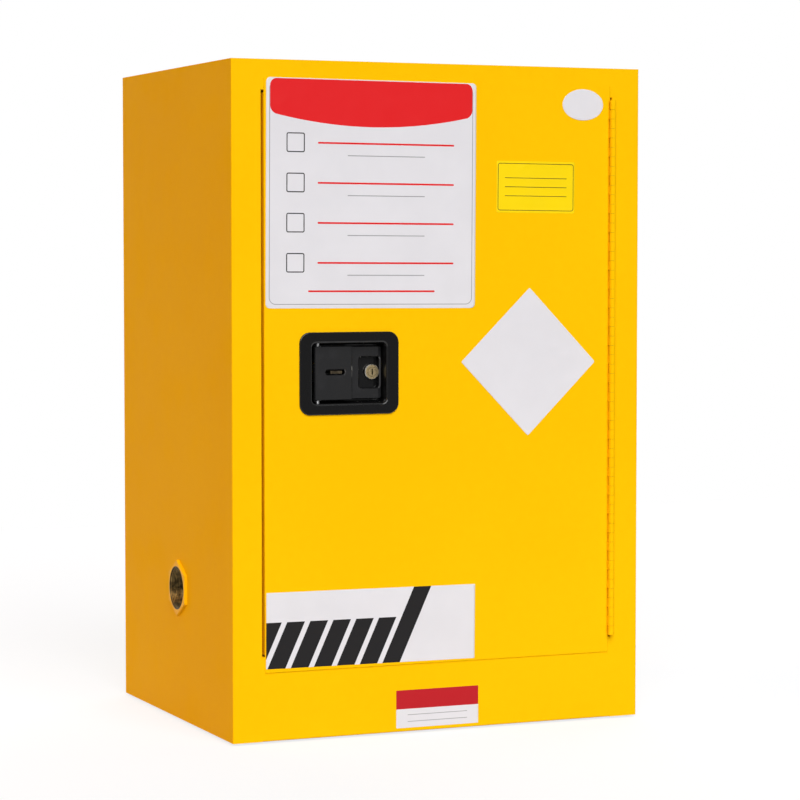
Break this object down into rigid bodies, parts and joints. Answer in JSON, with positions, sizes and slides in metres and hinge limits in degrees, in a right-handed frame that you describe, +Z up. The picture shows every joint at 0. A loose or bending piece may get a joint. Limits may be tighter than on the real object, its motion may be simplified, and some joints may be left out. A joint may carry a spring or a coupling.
{
  "type": "single-door safety storage cabinet",
  "caption": "Free-standing double-walled sheet steel safety cabinet with one hinged door, recessed paddle latch with key lock, shelf over a sump, and threaded side vents.",
  "frame": {"origin": "on the floor, under the middle of the whole outline", "axes": "+Z up, the door faces -Y, +X to the right of someone facing the door"},
  "size_m": [0.607, 0.4702, 0.89],
  "materials": {
    "yellow_paint": "smooth powder coat",
    "galvanised_steel": "galvanised",
    "black_latch": "satin black coat",
    "brass": "turned",
    "bright_steel": "zinc plated",
    "foot_nylon": "moulded"
  },
  "bodies": {
    "cabinet": {"left_outer_panel": "yellow_paint", "right_outer_panel": "yellow_paint", "top_outer_panel": "yellow_paint", "bottom_outer_panel": "yellow_paint", "back_outer_panel": "yellow_paint", "front_top_rail": "yellow_paint", "front_bottom_rail": "yellow_paint", "left_liner": "yellow_paint", "right_liner": "yellow_paint", "back_liner": "yellow_paint", "top_liner": "yellow_paint", "sump_tray": "yellow_paint", "hinge_frame_leaf": "yellow_paint", "left_vent_bung": "yellow_paint", "right_vent_bung": "yellow_paint", "side_spacers": "galvanised_steel", "back_spacers": "galvanised_steel", "top_spacers": "galvanised_steel", "base_bearers": "galvanised_steel", "shelf": "galvanised_steel", "shelf_standards": "galvanised_steel", "shelf_clips": "galvanised_steel", "strike_top": "galvanised_steel", "strike_bottom": "galvanised_steel", "foot_weld_nuts": "galvanised_steel", "left_flame_arrester": "brass", "right_flame_arrester": "brass", "ground_stud": "brass", "ground_washer": "brass", "ground_nut": "brass", "hinge_pin": "bright_steel"},
    "door": {"door_skin": "yellow_paint", "door_inner_panel": "yellow_paint", "hinge_door_leaf": "yellow_paint", "latch_pan": "black_latch", "latch_clamp": "galvanised_steel", "latch_screws": "bright_steel", "paddle_pin": "bright_steel", "paddle_spring": "bright_steel", "hasp_tongue": "bright_steel", "lock_body": "brass", "lock_nut": "bright_steel", "rod_guides": "galvanised_steel", "hub_stud": "bright_steel", "hub_clip_ring": "galvanised_steel"},
    "paddle": {"paddle": "black_latch"},
    "key_plug": {"lock_plug": "brass", "lock_cam": "bright_steel"},
    "hub": {"latch_hub": "galvanised_steel"},
    "upper_rod": {"upper_rod": "galvanised_steel"},
    "lower_rod": {"lower_rod": "galvanised_steel"},
    "foot_front_left": {"foot_pad_front_left": "foot_nylon", "foot_stud_front_left": "bright_steel"},
    "foot_front_right": {"foot_pad_front_right": "foot_nylon", "foot_stud_front_right": "bright_steel"},
    "foot_rear_left": {"foot_pad_rear_left": "foot_nylon", "foot_stud_rear_left": "bright_steel"},
    "foot_rear_right": {"foot_pad_rear_right": "foot_nylon", "foot_stud_rear_right": "bright_steel"}
  },
  "joints": [
    {"name": "door_swing", "type": "hinge", "parent": "cabinet", "child": "door", "pos_m": [0.2525, -0.2309, 0.482], "axis": [0, 0, 1], "range_deg": [0, 175]},
    {"name": "paddle_pull", "type": "hinge", "parent": "door", "child": "paddle", "pos_m": [-0.1722, -0.2134, 0.4826], "axis": [0, 0, -1], "range_deg": [0, 30], "stiffness_Nm_per_rad": 0.6, "springref_deg": -17.19},
    {"name": "hub_turn", "type": "hinge", "parent": "door", "child": "hub", "pos_m": [-0.1722, -0.1914, 0.4652], "axis": [0, 1, 0], "range_deg": [0, 30]},
    {"name": "upper_rod_slide", "type": "slide", "parent": "door", "child": "upper_rod", "axis": [0, 0, -1], "range_m": [0, 0.0131]},
    {"name": "lower_rod_slide", "type": "slide", "parent": "door", "child": "lower_rod", "axis": [0, 0, 1], "range_m": [0, 0.0131]},
    {"name": "key_turn", "type": "hinge", "parent": "door", "child": "key_plug", "pos_m": [-0.093, -0.2104, 0.4831], "axis": [0, 1, 0], "range_deg": [0, 90]},
    {"name": "foot_front_left_height", "type": "slide", "parent": "cabinet", "child": "foot_front_left", "axis": [0, 0, -1], "range_m": [0, 0.015]},
    {"name": "foot_front_right_height", "type": "slide", "parent": "cabinet", "child": "foot_front_right", "axis": [0, 0, -1], "range_m": [0, 0.015]},
    {"name": "foot_rear_left_height", "type": "slide", "parent": "cabinet", "child": "foot_rear_left", "axis": [0, 0, -1], "range_m": [0, 0.015]},
    {"name": "foot_rear_right_height", "type": "slide", "parent": "cabinet", "child": "foot_rear_right", "axis": [0, 0, -1], "range_m": [0, 0.015]}
  ],
  "couplings": [
    {"joint": "hub_turn", "follows": "paddle_pull", "ratio": 1},
    {"joint": "upper_rod_slide", "follows": "paddle_pull", "m_per_rad": 0.024828},
    {"joint": "lower_rod_slide", "follows": "paddle_pull", "m_per_rad": 0.024828}
  ]
}
